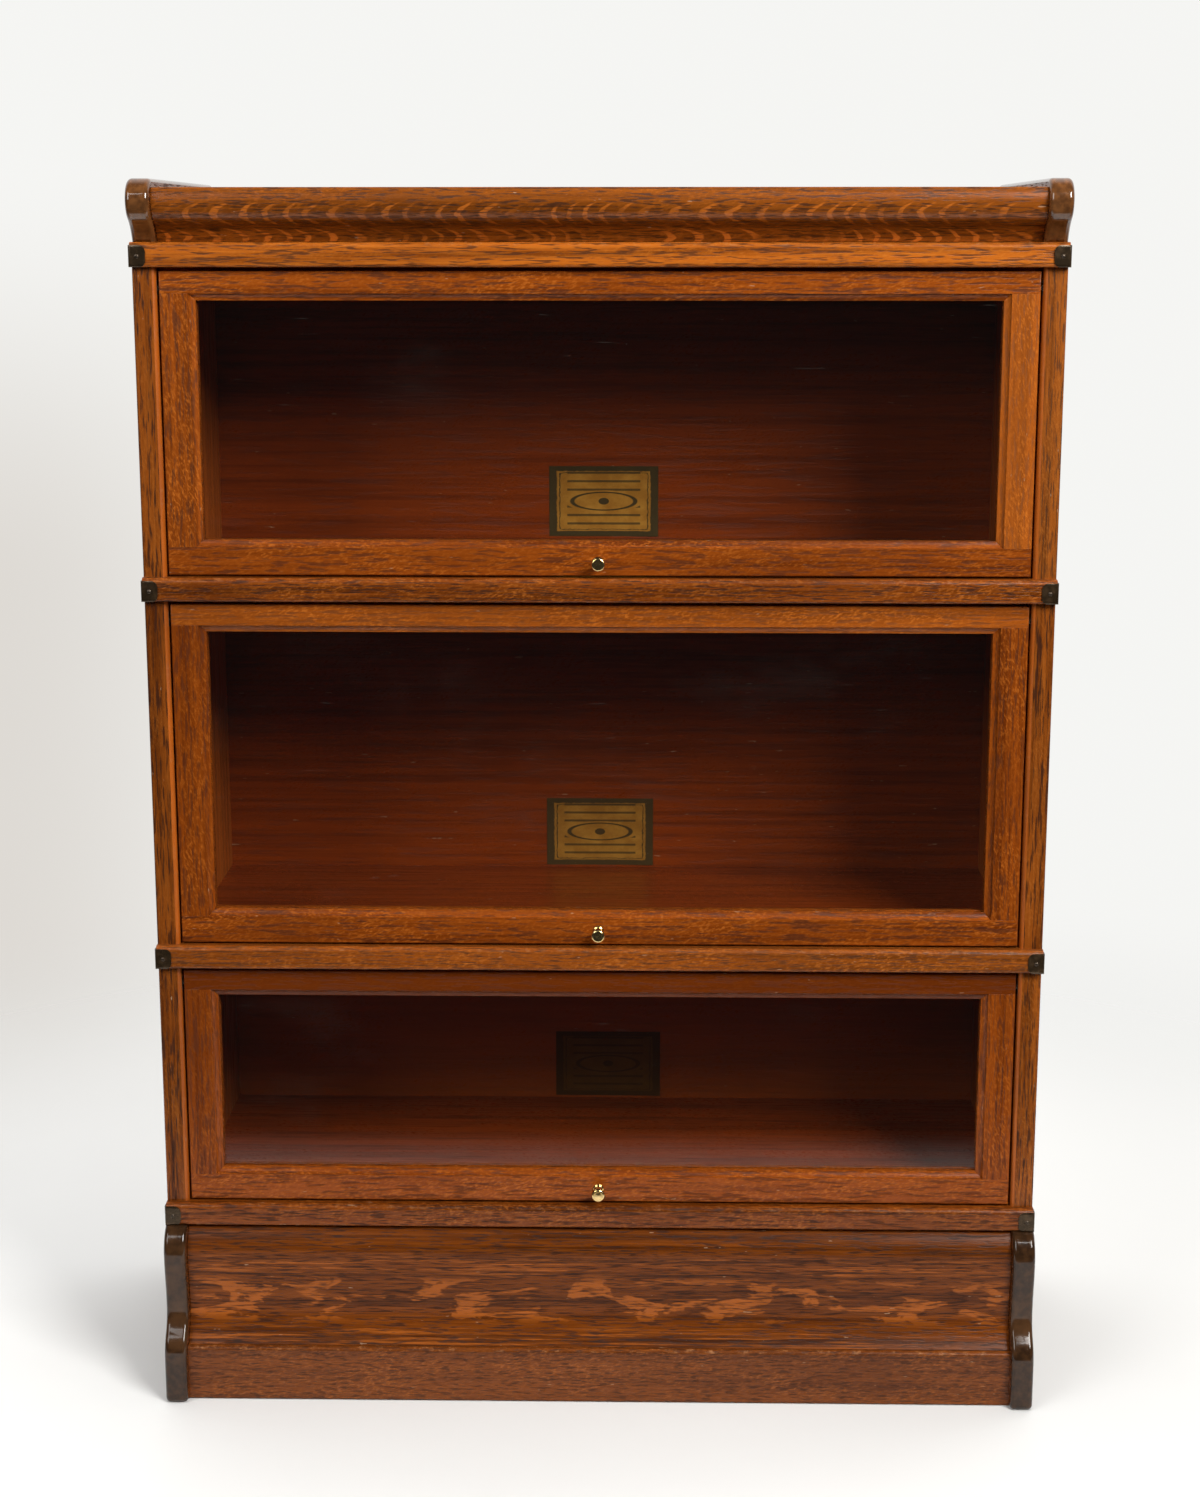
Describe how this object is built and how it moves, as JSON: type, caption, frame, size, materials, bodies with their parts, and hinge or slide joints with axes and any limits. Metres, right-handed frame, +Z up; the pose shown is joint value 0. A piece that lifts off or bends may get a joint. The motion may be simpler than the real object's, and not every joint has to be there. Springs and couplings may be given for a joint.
{
  "type": "barrister bookcase",
  "caption": "Stacking barrister bookcase in oak: scroll-ended base, glazed sections whose doors lift and slide back, corner bands and a moulded crown.",
  "frame": {"origin": "on the floor, in the middle of the footprint", "axes": "+Z up, front faces -Y, +X to the right of someone looking at the front"},
  "size_m": [0.8678, 0.3556, 1.1976],
  "materials": {
    "oak": "quarter-sawn oak, brown stain under worn satin varnish",
    "scroll_wood": "dark end-board oak, glossy varnish",
    "inner_wood": "plain red-brown stained boards, thin varnish",
    "glass": "clear sheet glass",
    "brass": "polished",
    "band_steel": "black-brown japanned strip steel",
    "screw_steel": "darkened steel",
    "gear_steel": "bare steel",
    "paper": "aged tan paper with dark green border"
  },
  "bodies": {
    "case": {"band_screws": "screw_steel", "base_back_rail": "inner_wood", "base_end_left": "scroll_wood", "base_end_right": "scroll_wood", "base_ogee_board": "oak", "base_plinth": "oak", "corner_bands": "band_steel", "crown_back_rail": "inner_wood", "crown_board": "inner_wood", "crown_end_left": "scroll_wood", "crown_end_right": "scroll_wood", "crown_front_rail": "oak", "crown_moulding": "oak", "door_tracks": "gear_steel", "lower_back_panel": "inner_wood", "lower_bottom_board": "inner_wood", "lower_front_rail": "oak", "lower_side_left": "oak", "lower_side_right": "oak", "middle_back_panel": "inner_wood", "middle_bottom_board": "inner_wood", "middle_front_rail": "oak", "middle_side_left": "oak", "middle_side_right": "oak", "paper_labels": "paper", "upper_back_panel": "inner_wood", "upper_bottom_board": "inner_wood", "upper_front_rail": "oak", "upper_side_left": "oak", "upper_side_right": "oak"},
    "lower_carriage": {"lower_carriage_shoes": "gear_steel", "lower_equalizer_bar": "gear_steel"},
    "lower_door": {"lower_door_bottom_rail": "oak", "lower_door_glass": "glass", "lower_door_knob": "brass", "lower_door_stile_left": "oak", "lower_door_stile_right": "oak", "lower_door_top_rail": "oak", "lower_glass_beads": "oak", "lower_pivot_plates": "gear_steel"},
    "middle_carriage": {"middle_carriage_shoes": "gear_steel", "middle_equalizer_bar": "gear_steel"},
    "middle_door": {"middle_door_bottom_rail": "oak", "middle_door_glass": "glass", "middle_door_knob": "brass", "middle_door_stile_left": "oak", "middle_door_stile_right": "oak", "middle_door_top_rail": "oak", "middle_glass_beads": "oak", "middle_pivot_plates": "gear_steel"},
    "upper_carriage": {"upper_carriage_shoes": "gear_steel", "upper_equalizer_bar": "gear_steel"},
    "upper_door": {"upper_door_bottom_rail": "oak", "upper_door_glass": "glass", "upper_door_knob": "brass", "upper_door_stile_left": "oak", "upper_door_stile_right": "oak", "upper_door_top_rail": "oak", "upper_glass_beads": "oak", "upper_pivot_plates": "gear_steel"}
  },
  "joints": [
    {"name": "lower_carriage_slide", "type": "slide", "parent": "case", "child": "lower_carriage", "axis": [0, 1, 0], "range_m": [0, 0.1788]},
    {"name": "lower_door_hinge", "type": "hinge", "parent": "lower_carriage", "child": "lower_door", "pos_m": [0, -0.12825, 0.426], "axis": [-1, 0, 0], "range_deg": [0, 90]},
    {"name": "middle_carriage_slide", "type": "slide", "parent": "case", "child": "middle_carriage", "axis": [0, 1, 0], "range_m": [0, 0.27405]},
    {"name": "middle_door_hinge", "type": "hinge", "parent": "middle_carriage", "child": "middle_door", "pos_m": [0, -0.12825, 0.78795], "axis": [-1, 0, 0], "range_deg": [0, 90]},
    {"name": "upper_carriage_slide", "type": "slide", "parent": "case", "child": "upper_carriage", "axis": [0, 1, 0], "range_m": [0, 0.22325]},
    {"name": "upper_door_hinge", "type": "hinge", "parent": "upper_carriage", "child": "upper_door", "pos_m": [0, -0.12825, 1.0991], "axis": [-1, 0, 0], "range_deg": [0, 90]}
  ],
  "couplings": [
    {"joint": "lower_carriage_slide", "follows": "lower_door_hinge", "m_per_rad": 0.11383},
    {"joint": "middle_carriage_slide", "follows": "middle_door_hinge", "m_per_rad": 0.17447},
    {"joint": "upper_carriage_slide", "follows": "upper_door_hinge", "m_per_rad": 0.14213}
  ]
}
